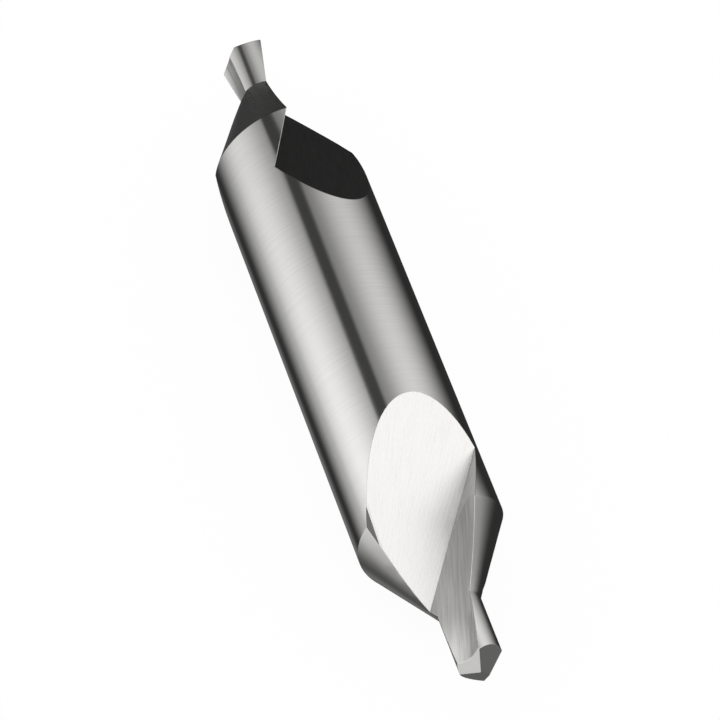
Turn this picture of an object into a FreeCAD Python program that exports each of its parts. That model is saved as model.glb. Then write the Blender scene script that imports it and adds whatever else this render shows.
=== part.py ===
"""Double-ended centre drill: a plain round body with a stepped drill and countersink ground on each end.

All sizes are millimetres and degrees.  X runs along the axis towards the front end, +Z is up, and the origin
is the middle of the body, half way between the outer corners of the two countersinks.

Each end is made in a frame of its own, with the axis along +X.  Its angles are counted about +X from the
direction in which the first flute is centred at the outer corner of the countersink.  The end is then rolled
into place, and the rear end is turned end for end first.  Both ends cut when they turn to the right.
"""

import FreeCAD
import Part

import math
import os
from dataclasses import dataclass

# The body and the cutting diameters
BODY_DIAMETER = 10.0
PILOT_DIAMETER = 4.0
COUNTERSINK_ANGLE = 60.0

# Lengths along the axis
CORNER_TO_CORNER = 34.3
FRONT_PILOT_LENGTH = 4.77
REAR_PILOT_LENGTH = 4.25

# Form relief: each land is ground about an axis of its own, beside the tool's axis
RELIEF_OFFSET = 0.378
RELIEF_DIRECTION = 21.5
CORNER_DIRECTION = -45.3
COUNTERSINK_FOOT_DIRECTION = -27.1
PILOT_CORNER_DIRECTION = -5.0

# The flutes: straight round grooves, each leaning to the axis.  The web is thinnest at a station a little
# ahead of the countersink's outer corner, and the groove's centre lies there in this direction
FLUTE_RADIUS = 4.55
WEB_THICKNESS = 0.67
FLUTE_LEAN = 17.5
FLUTE_DIRECTION = 14.0
WEB_AHEAD = 0.33

# The point: two flat flanks, each falling away behind its lip
FLANK_SLOPE = 30.1
FLANK_DIRECTION = -57.1

# How each end is rolled about the axis, counted from +Y towards +Z
FRONT_ROLL = 101.2
REAR_ROLL = 39.8

# Length that a cutting tool stands clear of the metal, so that no cut ends on a face
CLEAR = 2.0

AXIS = FreeCAD.Vector(1, 0, 0)
ORIGIN = FreeCAD.Vector(0, 0, 0)
TURN_OVER = FreeCAD.Vector(0, 1, 0)


def polar(radius, angle, x=0.0):
    """Give the point at a radius and an angle about the axis, at station x."""
    turn = math.radians(angle)
    return FreeCAD.Vector(x, radius * math.cos(turn), radius * math.sin(turn))


def turned(shape, angle, centre=ORIGIN, axis=AXIS):
    """Give a copy of a shape turned about an axis, the tool's own unless another is named."""
    copy = shape.copy()
    copy.rotate(centre, axis, angle)
    return copy


def half_space(point, normal, reach):
    """Give a block whose one face lies on the plane through a point and which fills the side of its normal."""
    block = Part.makeBox(2 * reach, 2 * reach, reach, FreeCAD.Vector(-reach, -reach, 0))
    block.Placement = FreeCAD.Placement(point, FreeCAD.Rotation(FreeCAD.Vector(0, 0, 1), normal))
    return block


@dataclass(frozen=True)
class Flat:
    """A flat ground at an end: how it leans to the axis, which way it faces and how far off the axis it is.

    The direction is counted like the end's other angles, and the offset is measured from the axis to the
    flat in the section through the countersink's outer corner.
    """

    lean: float
    direction: float
    offset: float

    def front(self, station, reach):
        """Everything in front of the flat, where station is that of the countersink's outer corner."""
        lean = math.radians(self.lean)
        normal = polar(math.cos(lean), self.direction, math.sin(lean))
        return half_space(polar(self.offset, self.direction, station), normal, reach)


@dataclass(frozen=True)
class Runout:
    """Where the grinding wheel stops: its face leaves the large flat, its rim the steep wall beside it.

    The third flat breaks the corner that the large flat leaves at the heel of the countersink's land.
    """

    face: Flat
    rim: Flat
    heel_corner: Flat


FRONT_RUNOUT = Runout(Flat(23.55, -24.1, 1.215), Flat(-24.7, 54.4, -0.786), Flat(24.4, -15.9, 1.783))
REAR_RUNOUT = Runout(Flat(22.15, -22.7, 1.5), Flat(-24.7, 54.4, -0.786), Flat(23.0, -14.5, 2.07))

# The flat that thins the web at the point; its offset is measured at the lip's outer corner
THINNING = Flat(lean=36.3, direction=57.7, offset=0.907)


@dataclass(frozen=True)
class DrillEnd:
    """One cutting end, made with its axis along +X and the origin at the middle of the body."""

    pilot_length: float
    runout: Runout

    body_radius = BODY_DIAMETER / 2
    pilot_radius = PILOT_DIAMETER / 2
    corner_x = CORNER_TO_CORNER / 2

    @property
    def foot_x(self):
        """Station where the cutting edge of the countersink meets that of the pilot."""
        step = self.body_radius - self.pilot_radius
        return self.corner_x + step / math.tan(math.radians(COUNTERSINK_ANGLE / 2))

    @property
    def lip_x(self):
        """Station of the outer corner of the lips."""
        return self.foot_x + self.pilot_length

    @property
    def reach(self):
        """Length that passes every face of this end from anywhere on it."""
        return self.lip_x + BODY_DIAMETER

    def ground_radius(self, radius, direction):
        """Radius about the relieved land's axis of a cutting edge point, given by radius and direction."""
        edge = polar(radius, direction)
        centre = polar(RELIEF_OFFSET, RELIEF_DIRECTION)
        return edge.distanceToPoint(centre)

    def land(self):
        """Countersink and pilot of one land: a turned profile about the land's own axis, cut to its half."""
        corner = self.ground_radius(self.body_radius, CORNER_DIRECTION)
        foot = self.ground_radius(self.pilot_radius, COUNTERSINK_FOOT_DIRECTION)
        pilot = self.ground_radius(self.pilot_radius, PILOT_CORNER_DIRECTION)
        fall = (corner - foot) / (self.foot_x - self.corner_x)
        wide = self.body_radius + 2 * RELIEF_OFFSET
        wide_x = self.corner_x - (wide - corner) / fall
        step_x = self.corner_x + (corner - pilot) / fall
        end_x = self.lip_x + CLEAR
        outline = [(0, 0), (0, wide), (wide_x, wide), (step_x, pilot), (end_x, pilot), (end_x, 0)]
        points = [FreeCAD.Vector(x, radius, 0) for x, radius in outline]
        profile = Part.Face(Part.makePolygon(points + points[:1]))
        profile.translate(polar(RELIEF_OFFSET, RELIEF_DIRECTION))
        turned_land = profile.revolve(polar(RELIEF_OFFSET, RELIEF_DIRECTION), AXIS, 360)
        side = half_space(ORIGIN, polar(1, RELIEF_DIRECTION - 90), self.reach)
        return turned_land.common(side)

    def blank(self):
        """Both lands' form, held within the body's diameter, with the half of the body behind it."""
        land = self.land()
        form = land.fuse(turned(land, 180))
        body = Part.makeCylinder(self.body_radius, self.lip_x + CLEAR, ORIGIN, AXIS)
        return body.common(form)

    def groove(self):
        """The straight round groove of the first flute, open towards the outside."""
        middle = polar(FLUTE_RADIUS + WEB_THICKNESS / 2, FLUTE_DIRECTION, self.corner_x + WEB_AHEAD)
        lean = math.radians(FLUTE_LEAN)
        along = polar(math.sin(lean), FLUTE_DIRECTION + 90, math.cos(lean))
        start = middle - along * self.reach
        bottom = Part.makeCylinder(FLUTE_RADIUS, 2 * self.reach, start, along)
        opening = Part.makeBox(2 * FLUTE_RADIUS, 2 * self.reach, self.reach)
        opening.translate(FreeCAD.Vector(-FLUTE_RADIUS, -self.reach, 0))
        outward = polar(1, FLUTE_DIRECTION)
        turn = FreeCAD.Rotation(outward.cross(along) * -1, along, outward, "ZXY")
        opening.Placement = FreeCAD.Placement(middle, turn).multiply(opening.Placement)
        return bottom.fuse(opening)

    def flute(self):
        """What the first flute takes away: the groove and the wheel's end position, no further back than it."""
        face = self.runout.face.front(self.corner_x, self.reach)
        rim = self.runout.rim.front(self.corner_x, self.reach)
        corner = self.runout.heel_corner.front(self.corner_x, self.reach)
        behind_foot = half_space(FreeCAD.Vector(self.foot_x, 0, 0), -AXIS, self.reach)
        before_flats = face.fuse(corner.common(behind_foot))
        return self.groove().fuse(rim).common(before_flats)

    def thinning(self):
        """What is ground off at the point to thin the web between the first flute and the chisel edge."""
        return THINNING.front(self.lip_x, self.reach)

    def flank(self):
        """What the first flank takes away: all that stands in front of a flat through the lip's corner."""
        normal = polar(math.sin(math.radians(FLANK_SLOPE)), FLANK_DIRECTION, math.cos(math.radians(FLANK_SLOPE)))
        corner = polar(self.pilot_radius, PILOT_CORNER_DIRECTION, self.lip_x)
        return half_space(corner, normal, self.reach)

    def solid(self):
        """The finished end, with half of the body."""
        cuts = []
        for cut in (self.flute(), self.thinning(), self.flank()):
            cuts += [cut, turned(cut, 180)]
        return self.blank().cut(cuts)


def centre_drill():
    """Join the two ends: the rear one is turned end for end, and each is rolled about the axis."""
    front = turned(DrillEnd(FRONT_PILOT_LENGTH, FRONT_RUNOUT).solid(), FRONT_ROLL)
    rear = turned(DrillEnd(REAR_PILOT_LENGTH, REAR_RUNOUT).solid(), 180, axis=TURN_OVER)
    whole = front.fuse(turned(rear, REAR_ROLL)).removeSplitter()
    return whole.Solids[0]


def main():
    """Write the one piece and say what it measures."""
    os.makedirs("parts", exist_ok=True)
    drill = centre_drill()
    drill.exportStep("parts/centre_drill.step")
    box = drill.optimalBoundingBox()
    print(f"valid {drill.isValid()}, faces {len(drill.Faces)}, volume {drill.Volume:.2f} mm3")
    print(f"length {box.XLength:.2f}, from {box.XMin:.2f} to {box.XMax:.2f}")


if __name__ == "__main__":
    main()
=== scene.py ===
import logging
import math
from dataclasses import dataclass, field
from enum import Enum

import bpy
from mathutils import Matrix, Vector


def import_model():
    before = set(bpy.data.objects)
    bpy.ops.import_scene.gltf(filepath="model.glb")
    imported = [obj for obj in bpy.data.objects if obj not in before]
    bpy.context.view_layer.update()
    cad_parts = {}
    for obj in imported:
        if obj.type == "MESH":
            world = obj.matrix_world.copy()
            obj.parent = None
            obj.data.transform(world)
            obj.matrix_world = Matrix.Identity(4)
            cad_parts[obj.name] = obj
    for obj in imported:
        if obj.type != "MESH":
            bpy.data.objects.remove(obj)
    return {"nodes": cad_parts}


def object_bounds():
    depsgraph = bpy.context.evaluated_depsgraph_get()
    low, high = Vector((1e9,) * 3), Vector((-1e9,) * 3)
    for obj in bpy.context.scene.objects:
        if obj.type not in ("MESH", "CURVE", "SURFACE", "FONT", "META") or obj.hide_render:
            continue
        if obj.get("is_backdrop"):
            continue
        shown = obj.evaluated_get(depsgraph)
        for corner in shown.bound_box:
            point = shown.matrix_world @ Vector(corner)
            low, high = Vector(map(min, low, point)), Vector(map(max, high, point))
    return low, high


LOG = logging.getLogger("centre_drill")

MILLIMETRES_PER_METRE = 1000.0
WHITE = "#ffffff"
AXIS = Vector((1.0, 0.0, 0.0))

# How near a point has to lie to a flat, or to a round face, to belong to it, in millimetres
ON_FLAT = 0.02
ON_ROUND = 0.06

# How nearly a point has to face the way that the flat or the groove does there, as a cosine
FACING = 0.99

# Stations along the axis from the middle of the body, in millimetres: the outer corners of both countersinks,
# and the outer corners of the lips at each end
CORNER = 17.15
FRONT_LIP = 27.116
REAR_LIP = 26.596

# The sockets of a Mix node, by number because several of them share a name
FACTOR = 0
FLOAT_A, FLOAT_B = 2, 3
VECTOR_A, VECTOR_B = 4, 5
MIXED_VECTOR = 1


class Ray(Enum):
    """The kinds of ray that the floor and the world tell apart."""

    CAMERA = "Is Camera Ray"
    GLOSSY = "Is Glossy Ray"


def linear(hex_colour: str) -> tuple[float, float, float, float]:
    """Turn an sRGB hex colour into the linear colour that a socket takes, by the sRGB standard's formula.

    Args:
        hex_colour: The colour as "#rrggbb".

    Returns:
        Linear red, green, blue and an alpha of 1.
    """
    parts = [int(hex_colour[i : i + 2], 16) / 255 for i in (1, 3, 5)]
    low = [p / 12.92 for p in parts]
    high = [((p + 0.055) / 1.055) ** 2.4 for p in parts]
    red, green, blue = (a if p <= 0.04045 else b for p, a, b in zip(parts, low, high))
    return red, green, blue, 1.0


def add(tree: bpy.types.NodeTree, kind: str, inputs: dict | tuple = (), **settings: object) -> bpy.types.Node:
    """Add a node with its settings, its values and its links.

    Args:
        tree: The node tree that gets the node.
        kind: The node's type, without "ShaderNode".
        inputs: Values, sockets or nodes (for their first output), in order or by the input's name or number.
        settings: The node's own settings by name.

    Returns:
        The new node.
    """
    node = tree.nodes.new("ShaderNode" + kind)
    for name, value in settings.items():
        setattr(node, name, value)
    values = inputs if isinstance(inputs, dict) else dict(enumerate(inputs))
    for key, value in values.items():
        source = value.outputs[0] if isinstance(value, bpy.types.Node) else value
        if isinstance(source, bpy.types.NodeSocket):
            tree.links.new(source, node.inputs[key])
        else:
            node.inputs[key].default_value = source
    return node


@dataclass(frozen=True)
class SoftBox:
    """A long light beside the tool, along its axis, placed by the angle about that axis in degrees.

    Its brightness is level at the centre and eases to nothing over the reach on either side.
    """

    centre: float
    reach_before: float
    reach_after: float
    level: float

    def brightness(self, tree: bpy.types.NodeTree, angle: bpy.types.Node) -> bpy.types.Node:
        """Give the light's brightness in the direction at an angle about the axis.

        Args:
            tree: The world's node tree.
            angle: Node with the direction's angle about the axis, in radians.

        Returns:
            Node with the brightness.
        """
        off = add(tree, "Math", (angle, math.radians(self.centre)), operation="SUBTRACT")
        off = add(tree, "Math", (off, math.pi, -math.pi), operation="WRAP")
        before = {"Value": off, "From Min": -math.radians(self.reach_before), "From Max": 0.0}
        after = {"Value": off, "From Min": math.radians(self.reach_after), "From Max": 0.0}
        rise = add(tree, "MapRange", before, interpolation_type="SMOOTHSTEP")
        fall = add(tree, "MapRange", after, interpolation_type="SMOOTHSTEP")
        both = add(tree, "Math", (rise, fall), operation="MULTIPLY")
        return add(tree, "Math", (both, self.level), operation="MULTIPLY")


@dataclass(frozen=True)
class Lamp:
    """A round light far from the tool, with its middle in one direction.

    Its brightness is level within the core and eases to nothing at the reach, both in degrees from the
    middle.  A lamp with a negative level is a dark flag, which takes light away.
    """

    direction: tuple[float, float, float]
    reach: float
    core: float
    level: float

    def brightness(self, tree: bpy.types.NodeTree, way: bpy.types.NodeSocket) -> bpy.types.Node:
        """Give the lamp's brightness in a direction.

        Args:
            tree: The world's node tree.
            way: Socket with the direction.

        Returns:
            Node with the brightness.
        """
        middle = Vector(self.direction).normalized()
        spot = {
            "Value": add(tree, "VectorMath", (way, middle), operation="DOT_PRODUCT").outputs["Value"],
            "From Min": math.cos(math.radians(self.reach)),
            "From Max": math.cos(math.radians(self.core)),
            "To Max": self.level,
        }
        return add(tree, "MapRange", spot, interpolation_type="SMOOTHSTEP")


@dataclass(frozen=True)
class Card:
    """A narrow black card in front of the soft boxes; angles are about the tool's axis, in degrees.

    It stands a little askew to the axis: its centre goes from the first angle to the second between the two
    leans.  It lets through the share that is left.
    """

    centres: tuple[float, float] = (101.0, 105.0)
    leans: tuple[float, float] = (-0.61, -0.56)
    half: float = 10.0
    edge: float = 2.5
    left: float = 0.08

    def share(
        self, tree: bpy.types.NodeTree, angle: bpy.types.Node, lean: bpy.types.NodeSocket
    ) -> bpy.types.Node:
        """Give the share of the light behind the card that gets past it in a direction.

        Args:
            tree: The world's node tree.
            angle: Node with the direction's angle about the axis, in radians.
            lean: Socket with the direction's part along the axis.

        Returns:
            Node with the share, which is 1 beside the card.
        """
        askew = {"Value": lean, "From Min": self.leans[0], "From Max": self.leans[1]}
        askew |= {"To Min": math.radians(self.centres[0]), "To Max": math.radians(self.centres[1])}
        off = add(tree, "Math", (angle, add(tree, "MapRange", askew)), operation="SUBTRACT")
        off = add(tree, "Math", (off, math.pi, -math.pi), operation="WRAP")
        edges = {
            "Value": add(tree, "Math", (off,), operation="ABSOLUTE"),
            "From Min": math.radians(self.half - self.edge),
            "From Max": math.radians(self.half + self.edge),
            "To Min": self.left,
        }
        return add(tree, "MapRange", edges, interpolation_type="SMOOTHSTEP")


@dataclass(frozen=True)
class Studio:
    """The floor, the light round the tool and the camera; lengths in metres, angles in degrees.

    The metal mirrors a studio of long soft boxes with a narrow black card before them, a few round lamps, and
    darkness behind the rear end.  The camera and the floor see plain white in its place.
    """

    floor_half: float = 3.0
    floor_drop: float = 0.00002
    shadow_share: float = 0.05

    boxes: tuple[SoftBox, ...] = (
        SoftBox(centre=166, reach_before=90, reach_after=70, level=0.92),
        SoftBox(centre=41, reach_before=75, reach_after=72, level=0.66),
        SoftBox(centre=-98, reach_before=26, reach_after=24, level=0.12),
    )
    card: Card = Card()
    fill: float = 0.030

    # What the boxes' light is multiplied by, for a direction's part along the axis
    lean_levels: tuple[tuple[float, float], ...] = (
        (-1.0, 0.02),
        (-0.85, 0.04),
        (-0.7, 0.5),
        (-0.62, 0.83),
        (-0.55, 1.32),
        (-0.45, 1.30),
        (0.3, 1.15),
        (1.0, 0.8),
    )
    key: Lamp = Lamp(direction=(0.18, 0.56, 0.81), reach=44.0, core=12.0, level=0.80)
    top: Lamp = Lamp(direction=(0.0, 0.20, 0.98), reach=32.0, core=12.0, level=0.30)
    side: Lamp = Lamp(direction=(0.10, -0.79, -0.60), reach=36.0, core=0.0, level=0.12)
    end: Lamp = Lamp(direction=(0.72, 0.64, -0.26), reach=34.0, core=0.0, level=0.10)
    flag: Lamp = Lamp(direction=(-0.86, 0.44, -0.25), reach=30.0, core=10.0, level=-0.012)

    camera_azimuth: float = 72.509
    camera_elevation: float = 53.076
    camera_distance: float = 0.302603
    camera_target: tuple[float, float, float] = (0.001497, -0.000094, 0.0)
    camera_clip: tuple[float, float] = (0.01, 10.0)

    # The lens and the sensor are in millimetres
    lens: float = 225.0
    sensor: float = 36.0

    def by_lean(self, tree: bpy.types.NodeTree, lean: bpy.types.NodeSocket) -> bpy.types.Node:
        """Give what the boxes' light is multiplied by in a direction.

        Args:
            tree: The world's node tree.
            lean: Socket with the direction's part along the axis.

        Returns:
            Node with the factor.
        """
        place = add(tree, "MapRange", {"Value": lean, "From Min": -1.0, "From Max": 1.0})
        ramp = add(tree, "ValToRGB", (place,))
        while len(ramp.color_ramp.elements) < len(self.lean_levels):
            ramp.color_ramp.elements.new(0.5)
        for element, (along, level) in zip(ramp.color_ramp.elements, self.lean_levels):
            element.position = (along + 1) / 2
            element.color = (level, level, level, 1)
        return ramp

    def sky(self, tree: bpy.types.NodeTree) -> bpy.types.Node:
        """Work out the studio's brightness in each direction, as the metal mirrors it.

        The tool's axis is X.  The angle of a direction about it is counted from +Y towards +Z, and its lean
        along the axis is its X part.

        Args:
            tree: The world's node tree.

        Returns:
            Node with the brightness.
        """
        way = add(tree, "TexCoord").outputs["Generated"]
        part = add(tree, "SeparateXYZ", (way,)).outputs
        angle = add(tree, "Math", (part["Z"], part["Y"]), operation="ARCTAN2")
        light: bpy.types.Node | float = 0.0
        for box in self.boxes:
            light = add(tree, "Math", (box.brightness(tree, angle), light), operation="ADD")
        past_card = self.card.share(tree, angle, part["X"])
        light = add(tree, "Math", (light, past_card), operation="MULTIPLY")
        light = add(tree, "Math", (light, self.by_lean(tree, part["X"]), self.fill), operation="MULTIPLY_ADD")
        for lamp in (self.key, self.top, self.side, self.end, self.flag):
            light = add(tree, "Math", (light, lamp.brightness(tree, way)), operation="ADD")
        return light

    def light(self) -> None:
        """Give the scene its world: white to the camera and to the floor, the studio to the metal."""
        world = bpy.data.worlds.new("studio")
        world.use_nodes = True
        tree = world.node_tree
        tree.nodes.clear()
        mirrored = add(tree, "LightPath").outputs[Ray.GLOSSY.value]
        white = add(tree, "Background", {"Color": linear(WHITE), "Strength": 1.0})
        studio = add(tree, "Background", {"Color": linear(WHITE), "Strength": self.sky(tree)})
        add(tree, "OutputWorld", (add(tree, "MixShader", (mirrored, white, studio)),))
        bpy.context.scene.world = world

    def floor(self, low: float) -> None:
        """Lay a white floor just under the tool; the metal does not mirror it.

        To the camera most of its light is its own, so that only a faint shadow is left, as on a product
        photograph whose ground was burnt out to white.

        Args:
            low: The lowest point of the tool, in metres.
        """
        half, z = self.floor_half, low - self.floor_drop
        corners = [(-half, -half, z), (half, -half, z), (half, half, z), (-half, half, z)]
        mesh = bpy.data.meshes.new("floor")
        mesh.from_pydata(corners, [], [(0, 1, 2, 3)])
        floor = bpy.data.objects.new("floor", mesh)
        bpy.context.scene.collection.objects.link(floor)
        material = bpy.data.materials.new("white_paper")
        material.use_nodes = True
        tree = material.node_tree
        tree.nodes.clear()
        paper = add(tree, "BsdfDiffuse", (linear(WHITE),))
        glow = add(tree, "Emission", {"Color": linear(WHITE), "Strength": 1.0})
        seen = add(tree, "LightPath").outputs[Ray.CAMERA.value]
        share = add(tree, "Math", (seen, 1 - self.shadow_share), operation="MULTIPLY")
        add(tree, "OutputMaterial", (add(tree, "MixShader", (share, paper, glow)),))
        mesh.materials.append(material)
        floor.visible_glossy = False
        floor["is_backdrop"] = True

    def camera(self) -> None:
        """Place the camera round its target by azimuth, elevation and distance."""
        turn, rise = math.radians(self.camera_azimuth), math.radians(self.camera_elevation)
        back = Vector((math.sin(turn) * math.cos(rise), -math.cos(turn) * math.cos(rise), math.sin(rise)))
        data = bpy.data.cameras.new("camera")
        data.lens = self.lens
        data.sensor_width = self.sensor
        data.clip_start, data.clip_end = self.camera_clip
        camera = bpy.data.objects.new("camera", data)
        camera.rotation_mode = "QUATERNION"
        camera.location = Vector(self.camera_target) + back * self.camera_distance
        camera.rotation_quaternion = (-back).to_track_quat("-Z", "Y")
        bpy.context.scene.collection.objects.link(camera)
        bpy.context.scene.camera = camera


@dataclass(frozen=True)
class Flat:
    """A flat of one end, in that end's own frame, in millimetres and degrees.

    Its offset is its distance from the axis at a station, and it faces in a direction about the axis.
    """

    lean: float
    direction: float
    offset: float
    station: float

    @property
    def normal(self) -> Vector:
        """The way that the flat faces."""
        lean, turn = math.radians(self.lean), math.radians(self.direction)
        return Vector((math.sin(lean), math.cos(lean) * math.cos(turn), math.cos(lean) * math.sin(turn)))

    def covers(
        self, tree: bpy.types.NodeTree, place: bpy.types.Node, facing: bpy.types.Node
    ) -> bpy.types.Node:
        """Say whether a place lies on the flat, as 1 or 0.

        Args:
            tree: The material's node tree.
            place: Node with the place in the end's own frame, in millimetres.
            facing: Node with the way that the surface faces there, in the same frame.

        Returns:
            Node with the answer.
        """
        lean = math.radians(self.lean)
        height = math.sin(lean) * self.station + math.cos(lean) * self.offset
        along = add(tree, "VectorMath", (place, self.normal), operation="DOT_PRODUCT").outputs["Value"]
        near = add(tree, "Math", (along, height, ON_FLAT), operation="COMPARE")
        same = add(tree, "VectorMath", (facing, self.normal), operation="DOT_PRODUCT").outputs["Value"]
        same = add(tree, "Math", (same, FACING), operation="GREATER_THAN")
        return add(tree, "Math", (near, same), operation="MULTIPLY")


@dataclass(frozen=True)
class Groove:
    """The round groove of a flute, in its end's own frame, in millimetres and degrees."""

    radius: float = 4.55
    lean: float = 17.5
    direction: float = 14.0
    web: float = 0.67
    station: float = 17.48

    @property
    def along(self) -> Vector:
        """The way that the groove runs."""
        lean, turn = math.radians(self.lean), math.radians(self.direction + 90)
        return Vector((math.cos(lean), math.sin(lean) * math.cos(turn), math.sin(lean) * math.sin(turn)))

    @property
    def middle(self) -> Vector:
        """The point of the groove's own axis that is nearest to the tool's axis."""
        out, turn = self.radius + self.web / 2, math.radians(self.direction)
        return Vector((self.station, out * math.cos(turn), out * math.sin(turn)))

    def across(self, tree: bpy.types.NodeTree, place: bpy.types.Node) -> bpy.types.Node:
        """Give the way from the groove's axis to a place, turned a quarter: it is the same along the groove.

        Args:
            tree: The material's node tree.
            place: Node with the place in the end's own frame, in millimetres.

        Returns:
            Node with the way; its length is the place's distance from the groove's axis.
        """
        off = add(tree, "VectorMath", (place, self.middle), operation="SUBTRACT")
        return add(tree, "VectorMath", (off, self.along), operation="CROSS_PRODUCT")

    def covers(
        self, tree: bpy.types.NodeTree, place: bpy.types.Node, facing: bpy.types.Node
    ) -> bpy.types.Node:
        """Say whether a place lies on the groove, as 1 or 0.

        Args:
            tree: The material's node tree.
            place: Node with the place in the end's own frame, in millimetres.
            facing: Node with the way that the surface faces there, in the same frame.

        Returns:
            Node with the answer.
        """
        across = self.across(tree, place)
        away = add(tree, "VectorMath", (across,), operation="LENGTH").outputs["Value"]
        near = add(tree, "Math", (away, self.radius, ON_ROUND), operation="COMPARE")
        inward = add(tree, "VectorMath", (across, self.along), operation="CROSS_PRODUCT")
        same = add(tree, "VectorMath", (facing, inward), operation="DOT_PRODUCT").outputs["Value"]
        same = add(tree, "Math", (same, FACING * self.radius), operation="GREATER_THAN")
        return add(tree, "Math", (near, same), operation="MULTIPLY")


@dataclass(frozen=True)
class EndForm:
    """Where the ground faces of one end lie, in the end's own frame; sizes in millimetres, angles in degrees.

    The end is rolled about the axis, and the rear end is turned over first.
    """

    roll: float
    turned_over: bool
    face: Flat
    heel: Flat
    thinning: Flat
    flank: Flat
    rim: Flat = Flat(lean=-24.7, direction=54.4, offset=-0.786, station=CORNER)
    groove: Groove = Groove()

    def outside(self, vector: Vector, sign: float) -> Vector:
        """Give a direction of this end's own frame in the tool's frame.

        Args:
            vector: The direction in the end's own frame.
            sign: 1 for the half that the frame describes, -1 for the opposite half.

        Returns:
            The direction in the tool's frame.
        """
        turned = Vector((vector.x, sign * vector.y, sign * vector.z))
        if self.turned_over:
            turned = Vector((-turned.x, turned.y, -turned.z))
        return Matrix.Rotation(math.radians(self.roll), 3, "X") @ turned

    def own(
        self, tree: bpy.types.NodeTree, vector: bpy.types.Node | bpy.types.NodeSocket, sign: float
    ) -> bpy.types.Node:
        """Give a place or a direction of the tool in this end's own frame.

        Args:
            tree: The material's node tree.
            vector: The place or the direction in the tool's frame.
            sign: 1 for the half that the frame describes, -1 for the opposite half.

        Returns:
            Node with the place or the direction in the end's own frame.
        """
        rolled = {"Vector": vector, "Angle": -math.radians(self.roll)}
        rolled = add(tree, "VectorRotate", rolled, rotation_type="X_AXIS")
        turn = (-1.0, sign, -sign) if self.turned_over else (1.0, sign, sign)
        return add(tree, "VectorMath", (rolled, turn), operation="MULTIPLY")


FRONT = EndForm(
    roll=101.2,
    turned_over=False,
    face=Flat(lean=23.55, direction=-24.1, offset=1.215, station=CORNER),
    heel=Flat(lean=24.4, direction=-15.9, offset=1.783, station=CORNER),
    thinning=Flat(lean=36.3, direction=57.7, offset=0.907, station=FRONT_LIP),
    flank=Flat(lean=59.9, direction=-57.1, offset=1.2286, station=FRONT_LIP),
)
REAR = EndForm(
    roll=39.8,
    turned_over=True,
    face=Flat(lean=22.15, direction=-22.7, offset=1.5, station=CORNER),
    heel=Flat(lean=23.0, direction=-14.5, offset=2.07, station=CORNER),
    thinning=Flat(lean=36.3, direction=57.7, offset=0.907, station=REAR_LIP),
    flank=Flat(lean=59.9, direction=-57.1, offset=1.2286, station=REAR_LIP),
)


@dataclass(frozen=True)
class Surface:
    """The nodes of a material that say where a point of the tool lies, in millimetres, and how it faces."""

    tree: bpy.types.NodeTree
    place: bpy.types.Node
    facing: bpy.types.NodeSocket
    station: bpy.types.NodeSocket
    radius: bpy.types.NodeSocket

    @classmethod
    def of(cls, tree: bpy.types.NodeTree) -> "Surface":
        """Add these nodes to a material.

        Args:
            tree: The material's node tree.

        Returns:
            The surface.
        """
        where = add(tree, "TexCoord").outputs
        scale = {0: where["Object"], "Scale": MILLIMETRES_PER_METRE}
        place = add(tree, "VectorMath", scale, operation="SCALE")
        station = add(tree, "SeparateXYZ", (place,)).outputs["X"]
        round_axis = add(tree, "VectorMath", (place, (0.0, 1.0, 1.0)), operation="MULTIPLY")
        radius = add(tree, "VectorMath", (round_axis,), operation="LENGTH").outputs["Value"]
        return cls(tree, place, where["Normal"], station, radius)

    def in_half(self, rear: bool) -> bpy.types.Node:
        """Say whether a point lies in one half of the tool's length, as 1 or 0.

        Args:
            rear: Whether the rear half is meant.

        Returns:
            Node with the answer.
        """
        return add(self.tree, "Math", (self.station, 0.0), operation="LESS_THAN" if rear else "GREATER_THAN")


@dataclass(frozen=True)
class Finish:
    """How one kind of face was ground, and how much lighter or darker it is painted.

    It gives the face's painted light and shade as a share of the steel's brightness, how far it blurs what
    it mirrors, how much its lines vary from light to dark, and how much more it blurs across the lines than
    along them.
    """

    # Painted light and shade: the face's brightness beside the steel's own, standing for the light that it
    # mirrors
    painted_light: float
    roughness: float
    streaks: float
    spread: float = 0.6


@dataclass(frozen=True)
class Lines:
    """How fine a kind of grinding line is drawn.

    It gives the coarsest lines to a millimetre, how many sets of finer ones lie over them, and how strong
    each set is beside the one before it.
    """

    per_millimetre: float
    sets: float
    strength: float

    @property
    def noise(self) -> dict[str, float]:
        """The values for a noise texture."""
        return {"Scale": self.per_millimetre, "Detail": self.sets, "Roughness": self.strength}


@dataclass(frozen=True)
class Region:
    """A kind of face in a material: where it lies, its finish, its lines and the way across the lines."""

    here: bpy.types.Node
    finish: Finish
    lines: bpy.types.Node
    across: Vector | bpy.types.Node


@dataclass(frozen=True)
class Look:
    """What a material reads at each point, once its regions are laid over each other."""

    # Each face's painted light and shade
    painted_light: bpy.types.Node
    roughness: bpy.types.Node
    streaks: bpy.types.Node
    spread: bpy.types.Node
    lines: bpy.types.Node
    across: bpy.types.NodeSocket


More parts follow.
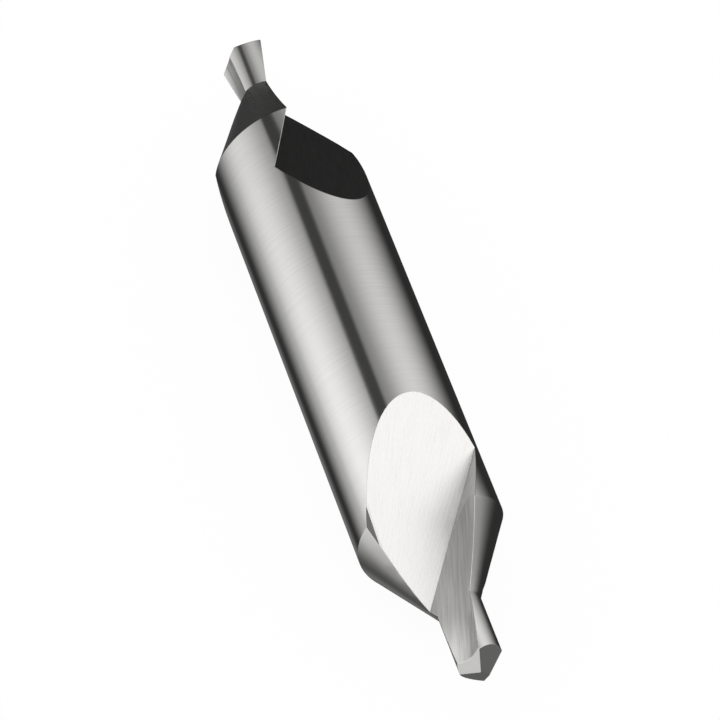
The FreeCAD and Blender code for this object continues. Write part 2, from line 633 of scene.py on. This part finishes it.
@dataclass(frozen=True)
class GroundSteel:
    """Hardened high-speed steel, ground all over.

    Grinding gives it a bright, slightly warm grey gloss.  The wheel's lines run another way on each face,
    and what the face mirrors is drawn out across them.  Some kinds of face are painted lighter or darker than
    the steel, and the grooves are painted brighter towards the point: painted light and shade for what those
    faces mirror.
    """

    colour: str = "#e0dfdd"
    body_radius: float = 5.0
    # The first number of each finish is painted light and shade, lighter or darker than the steel for what
    # the face mirrors
    body: Finish = Finish(painted_light=1.0, roughness=0.13, streaks=0.07)
    land: Finish = Finish(painted_light=1.0, roughness=0.21, streaks=0.06)
    face: Finish = Finish(painted_light=1.04, roughness=0.38, streaks=0.42, spread=0.9)
    rear_face: Finish = Finish(painted_light=0.9, roughness=0.18, streaks=0.30)
    groove: Finish = Finish(painted_light=0.72, roughness=0.34, streaks=0.45)
    rim: Finish = Finish(painted_light=0.74, roughness=0.34, streaks=0.3)
    thinning: Finish = Finish(painted_light=1.33, roughness=0.40, streaks=0.05)
    flank: Finish = Finish(painted_light=1.0, roughness=0.22, streaks=0.03)

    # The heel flat leans too little in the solid, so it is painted dark: a painted reflection of what it
    # should mirror
    heel: Finish = Finish(painted_light=0.14, roughness=0.20, streaks=0.0)

    # A grinding wheel leaves lines some hundredths of a millimetre apart.  A pixel of the picture is about
    # 0.08 mm of the tool, so real lines would not show, and these are drawn as coarse as they need to be.
    turned_lines: Lines = Lines(per_millimetre=9.0, sets=3.0, strength=0.7)
    face_lines: Lines = Lines(per_millimetre=6.0, sets=4.0, strength=0.8)
    groove_lines: Lines = Lines(per_millimetre=4.0, sets=4.0, strength=0.6)

    # How slowly a line changes along its length, as a share of how fast the pattern changes across it
    along_share: float = 0.06
    ring_share: float = 0.02

    # The lines on the large flat fan out a little, from this point of it and in this direction
    fan_middle: tuple[float, float, float] = (12.1, 3.157, -1.316)
    fan_along: tuple[float, float, float] = (0.850, -0.185, 0.493)
    fan_reach: float = 30.0

    # The groove is painted brighter towards the point between these stations, in millimetres: a painted
    # highlight
    bright_from: float = 22.5
    bright_to: float = 26.5
    painted_highlight: float = 1.33

    # The shading of the rear pilot's lands is turned about the axis, in degrees, so that the dark line which
    # they mirror lies as far round as on the real tool
    pilot_radius: float = 2.3
    rear_pilot_turn: float = -10.0

    # The corners' rounding and the lines' relief are shading only, in metres
    edge_radius: float = 0.00005
    edge_samples: int = 6
    bump_height: float = 0.0000012

    def fan(self, tree: bpy.types.NodeTree, place: bpy.types.Node, flat: Flat) -> bpy.types.Node:
        """Give a pattern of the lines that the wheel's side leaves on the large flat.

        Args:
            tree: The material's node tree.
            place: Node with the place in the end's own frame, in millimetres.
            flat: The large flat.

        Returns:
            Node with the pattern, from 0 to 1.
        """
        along = Vector(self.fan_along).normalized()
        across = flat.normal.cross(along)
        off = add(tree, "VectorMath", (place, self.fan_middle), operation="SUBTRACT")
        run = add(tree, "VectorMath", (off, along), operation="DOT_PRODUCT").outputs["Value"]
        side = add(tree, "VectorMath", (off, across), operation="DOT_PRODUCT").outputs["Value"]
        close = add(tree, "Math", (run, -1 / self.fan_reach, 1.0), operation="MULTIPLY_ADD")
        side = add(tree, "Math", (side, close), operation="DIVIDE")
        slow = add(tree, "Math", (run, self.along_share), operation="MULTIPLY")
        spot = add(tree, "CombineXYZ", (side, slow, 0.0))
        return add(tree, "TexNoise", {"Vector": spot} | self.face_lines.noise, noise_dimensions="2D")

    def streaks(self, tree: bpy.types.NodeTree, place: bpy.types.Node, groove: Groove) -> bpy.types.Node:
        """Give a pattern of the streaks that run along a groove.

        Args:
            tree: The material's node tree.
            place: Node with the place in the end's own frame, in millimetres.
            groove: The groove.

        Returns:
            Node with the pattern, from 0 to 1.
        """
        off = add(tree, "VectorMath", (place, groove.middle), operation="SUBTRACT")
        slow = add(tree, "VectorMath", {0: off, "Scale": self.along_share}, operation="SCALE")
        spot = add(tree, "VectorMath", (groove.across(tree, place), slow), operation="ADD")
        return add(tree, "TexNoise", {"Vector": spot} | self.groove_lines.noise, noise_dimensions="3D")

    def rings(self, tree: bpy.types.NodeTree, place: bpy.types.Node) -> bpy.types.Node:
        """Give a pattern of fine rings round the axis, as cylindrical grinding leaves them.

        Args:
            tree: The material's node tree.
            place: Node with the place in the tool's frame, in millimetres.

        Returns:
            Node with the pattern, from 0 to 1.
        """
        squeeze = (1.0, self.ring_share, self.ring_share)
        spot = add(tree, "VectorMath", (place, squeeze), operation="MULTIPLY")
        return add(tree, "TexNoise", {"Vector": spot} | self.turned_lines.noise, noise_dimensions="3D")

    def half_end(self, surface: Surface, end: EndForm, sign: float, rings: bpy.types.Node) -> list[Region]:
        """Give the regions of one half of an end, in the order in which they lie over each other.

        Args:
            surface: Where the points of the tool lie.
            end: The end's form.
            sign: 1 for the half that the end's frame describes, -1 for the opposite half.
            rings: Node with the pattern of rings.

        Returns:
            The regions.
        """
        tree = surface.tree
        side = surface.in_half(end.turned_over)
        place = end.own(tree, surface.place, sign)
        facing = end.own(tree, surface.facing, sign)
        streaks = self.streaks(tree, place, end.groove)
        fan = self.fan(tree, place, end.face)
        across_fan = end.outside(end.face.normal.cross(Vector(self.fan_along).normalized()), sign)
        along_groove = end.outside(end.groove.along, sign)
        round_groove = add(tree, "VectorMath", (along_groove, surface.facing), operation="CROSS_PRODUCT")
        kinds = (
            (end.groove, self.groove, streaks, round_groove),
            (end.rim, self.rim, streaks, round_groove),
            (end.heel, self.heel, fan, across_fan),
            (end.face, self.rear_face if end.turned_over else self.face, fan, across_fan),
            (end.thinning, self.thinning, streaks, round_groove),
            (end.flank, self.flank, rings, across_fan),
        )
        regions = []
        for form, finish, lines, across in kinds:
            here = add(tree, "Math", (form.covers(tree, place, facing), side), operation="MULTIPLY")
            regions.append(Region(here, finish, lines, across))
        return regions

    def layered(self, tree: bpy.types.NodeTree, regions: list[Region], rings: bpy.types.Node) -> Look:
        """Lay the regions over the lands, each over those before it.

        Args:
            tree: The material's node tree.
            regions: The regions, the lowest first.
            rings: Node with the pattern of rings, which the lands have.

        Returns:
            What the material reads at each point.
        """
        land = self.land
        painted_light, rough, depth, spread = land.painted_light, land.roughness, land.streaks, land.spread
        lines, across = rings, AXIS
        for region in regions:
            here, over = region.here, region.finish
            # Each region's painted light and shade replaces what lies under it
            painted_light = add(tree, "Mix", {FACTOR: here, FLOAT_A: painted_light, FLOAT_B: over.painted_light})
            rough = add(tree, "Mix", {FACTOR: here, FLOAT_A: rough, FLOAT_B: over.roughness})
            depth = add(tree, "Mix", {FACTOR: here, FLOAT_A: depth, FLOAT_B: over.streaks})
            spread = add(tree, "Mix", {FACTOR: here, FLOAT_A: spread, FLOAT_B: over.spread})
            lines = add(tree, "Mix", {FACTOR: here, FLOAT_A: lines, FLOAT_B: region.lines})
            ways = {FACTOR: here, VECTOR_A: across, VECTOR_B: region.across}
            across = add(tree, "Mix", ways, data_type="VECTOR").outputs[MIXED_VECTOR]
        return Look(painted_light, rough, depth, spread, lines, across)

    def groove_painted_highlight(self, surface: Surface, painted_light: bpy.types.Node, regions: list[Region]) -> bpy.types.Node:
        """Paint the grooves brighter towards the point, a painted highlight.

        Args:
            surface: Where the points of the tool lie.
            painted_light: Node with the painted light and shade so far.
            regions: All the regions.

        Returns:
            Node with the painted light and shade, with the painted highlight in the grooves.
        """
        tree = surface.tree
        in_groove: bpy.types.Node | float = 0.0
        for region in regions:
            if region.finish is self.groove:
                in_groove = add(tree, "Math", (region.here, in_groove), operation="MAXIMUM")
        towards_point = {
            "Value": add(tree, "Math", (surface.station,), operation="ABSOLUTE"),
            "From Min": self.bright_from,
            "From Max": self.bright_to,
            "To Min": self.groove.painted_light,
            "To Max": self.painted_highlight,
        }
        brighter = add(tree, "MapRange", towards_point, interpolation_type="SMOOTHSTEP")
        return add(tree, "Mix", {FACTOR: in_groove, FLOAT_A: painted_light, FLOAT_B: brighter})

    def normal(self, surface: Surface, lines: bpy.types.Node, regions: list[Region]) -> bpy.types.Node:
        """Give the normal, with a narrow rounding that catches the light along every corner.

        Args:
            surface: Where the points of the tool lie.
            lines: Node with the pattern of lines.
            regions: All the regions; what they leave bare is land.

        Returns:
            Node with the normal.
        """
        tree = surface.tree
        covered: bpy.types.Node | float = 0.0
        for region in regions:
            covered = add(tree, "Math", (region.here, covered), operation="MAXIMUM")
        bare = add(tree, "Math", (1.0, covered), operation="SUBTRACT")
        slim = add(tree, "Math", (surface.radius, self.pilot_radius), operation="LESS_THAN")
        rear_pilot = add(tree, "Math", (slim, surface.in_half(rear=True)), operation="MULTIPLY")
        rear_pilot = add(tree, "Math", (rear_pilot, bare), operation="MULTIPLY")

        corner = add(tree, "Bevel", {"Radius": self.edge_radius}, samples=self.edge_samples)
        turned = {"Vector": corner, "Angle": math.radians(self.rear_pilot_turn)}
        turned = add(tree, "VectorRotate", turned, rotation_type="X_AXIS")
        ways = {FACTOR: rear_pilot, VECTOR_A: corner, VECTOR_B: turned}
        smooth = add(tree, "Mix", ways, data_type="VECTOR").outputs[MIXED_VECTOR]
        relief = {"Height": lines, "Distance": self.bump_height, "Strength": 1.0, "Normal": smooth}
        return add(tree, "Bump", relief)

    def material(self) -> bpy.types.Material:
        """Make the material.

        Returns:
            The material.
        """
        material = bpy.data.materials.new("ground_high_speed_steel")
        material.use_nodes = True
        tree = material.node_tree
        tree.nodes.clear()
        surface = Surface.of(tree)
        rings = self.rings(tree, surface.place)
        on_body = add(tree, "Math", (surface.radius, self.body_radius, ON_ROUND), operation="COMPARE")
        regions = [Region(on_body, self.body, rings, AXIS)]
        for end in (FRONT, REAR):
            for sign in (1.0, -1.0):
                regions += self.half_end(surface, end, sign, rings)
        look = self.layered(tree, regions, rings)

        # The lines change the colour and the blur alike, by as much above 1 as below it
        wave = add(tree, "Math", (look.lines, 2.0, -1.0), operation="MULTIPLY_ADD")
        change = add(tree, "Math", (wave, look.streaks, 1.0), operation="MULTIPLY_ADD")
        # Each face's painted light and shade, with the grooves' painted highlight towards the point, goes
        # into the colour
        painted_light = self.groove_painted_highlight(surface, look.painted_light, regions)
        shade = add(tree, "Math", (painted_light, change), operation="MULTIPLY")
        steel = {0: linear(self.colour)[:3], "Scale": shade}
        finish = {
            "Base Color": add(tree, "VectorMath", steel, operation="SCALE"),
            "Metallic": 1.0,
            "Roughness": add(tree, "Math", (look.roughness, change), operation="MULTIPLY"),
            "Normal": self.normal(surface, look.lines, regions),
            "Anisotropic": look.spread,
            "Tangent": look.across,
        }
        add(tree, "OutputMaterial", (add(tree, "BsdfPrincipled", finish),))
        return material


@dataclass
class CentreDrill:
    """The tool itself: one piece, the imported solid, dressed."""

    finish: GroundSteel = field(default_factory=GroundSteel)

    def dress(self, node: bpy.types.Object) -> None:
        """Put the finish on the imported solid.

        Args:
            node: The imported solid's object.
        """
        node.data.materials.clear()
        node.data.materials.append(self.finish.material())
        LOG.info("dressed %s", node.name)


def main() -> None:
    """Build the scene: the studio, the camera and the dressed tool."""
    logging.basicConfig(level=logging.INFO)
    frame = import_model()
    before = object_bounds()
    bpy.context.scene.view_settings.view_transform = "Standard"
    studio = Studio()
    studio.camera()
    studio.light()
    studio.floor(before[0].z)
    CentreDrill().dress(frame["nodes"]["centre_drill"])


if __name__ == "__main__":
    main()
